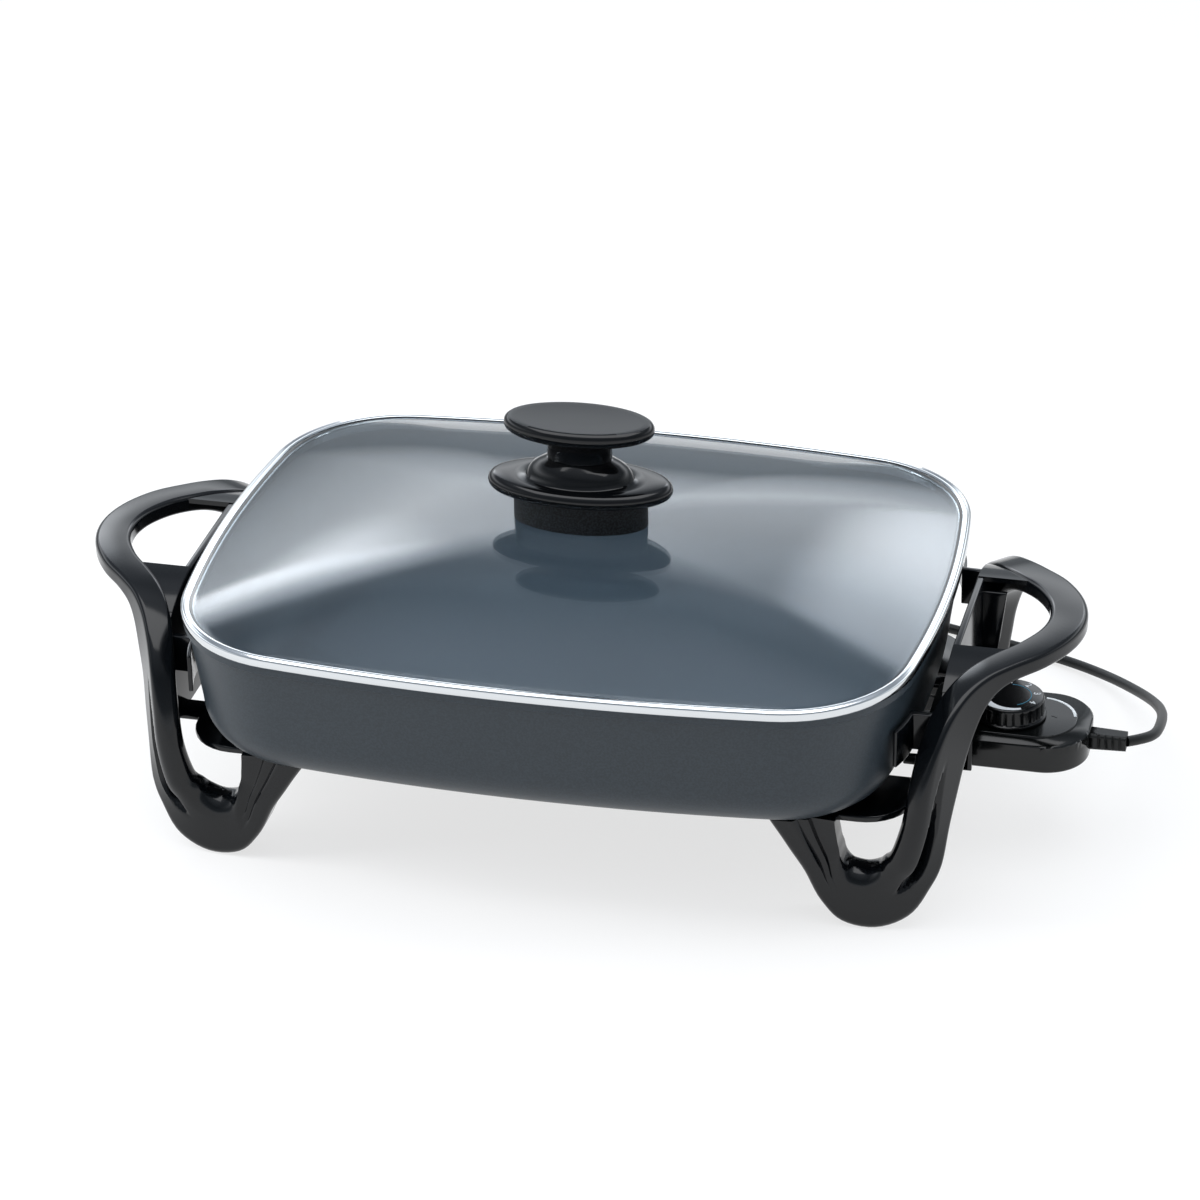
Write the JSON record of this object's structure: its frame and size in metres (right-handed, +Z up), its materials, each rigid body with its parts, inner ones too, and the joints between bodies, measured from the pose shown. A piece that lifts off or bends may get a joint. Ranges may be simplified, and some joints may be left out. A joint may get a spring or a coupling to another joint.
{
  "type": "electric skillet",
  "caption": "Shallow oblong electric frying pan with a lift-off domed glass lid, a moulded handle and legs at each end, and a plug-in heat control with dial and cord.",
  "frame": {"origin": "on the surface that the four feet stand on, below the centre of the pan", "axes": "+X along the pan towards the heat control, +Z up, +Y across the pan away from the viewer"},
  "size_m": [0.6327, 0.475, 0.236],
  "materials": {
    "pan_coating": "satin dark non-stick coating on cast aluminium",
    "steel": "plain drawn steel",
    "ceramic": "fired ceramic, unglazed",
    "phenolic": "moulded heat-proof plastic, satin with polished edges",
    "knob_plastic": "moulded heat-proof plastic, polished",
    "lid_glass": "clear tempered glass",
    "lid_steel": "bright rolled steel",
    "seal": "heat-proof rubber",
    "control_plastic": "moulded plastic, satin",
    "dial_plastic": "moulded plastic, polished, white numerals",
    "lens": "translucent white plastic",
    "lamp": "small glow lamp",
    "brass": "stamped brass",
    "mica": "pressed insulating board",
    "cord_rubber": "dull rubber jacket",
    "tie": "plastic-covered wire"
  },
  "bodies": {
    "skillet": {"pan": "pan_coating", "heating_element": "steel", "terminal_bushes": "ceramic", "terminal_pins": "steel", "left_frame": "phenolic", "right_frame": "phenolic", "left_frame_screws": "steel", "right_frame_screws": "steel"},
    "lid": {"lid_glass": "lid_glass", "lid_band": "lid_steel", "knob_seat": "phenolic", "knob_shield": "knob_plastic", "knob_cap": "knob_plastic", "knob_washer": "seal", "knob_screw": "steel"},
    "heat_control": {"lower_housing": "control_plastic", "upper_housing": "control_plastic", "pilot_lens": "lens", "pilot_lamp": "lamp", "control_screws": "steel", "probe_tube": "steel", "probe_rod": "steel", "contact_sleeves": "brass", "thermostat_plate": "steel", "contact_blades": "brass", "blade_spacers": "mica", "strain_relief": "cord_rubber", "cord": "cord_rubber", "cord_coil": "cord_rubber", "cord_tail": "cord_rubber", "cord_tie": "tie", "plug_body": "cord_rubber", "plug_blades": "brass"},
    "dial": {"dial_shaft": "steel", "dial": "dial_plastic"}
  },
  "joints": [
    {"name": "lid_lift", "type": "slide", "parent": "skillet", "child": "lid", "axis": [0, 0, 1], "range_m": [0, 0.12]},
    {"name": "control_pull", "type": "slide", "parent": "skillet", "child": "heat_control", "axis": [1, 0, 0], "range_m": [0, 0.06]},
    {"name": "dial_turn", "type": "hinge", "parent": "heat_control", "child": "dial", "pos_m": [0.245, 0, 0.0767], "axis": [0, 0, 1], "range_deg": [-280, 0]}
  ]
}
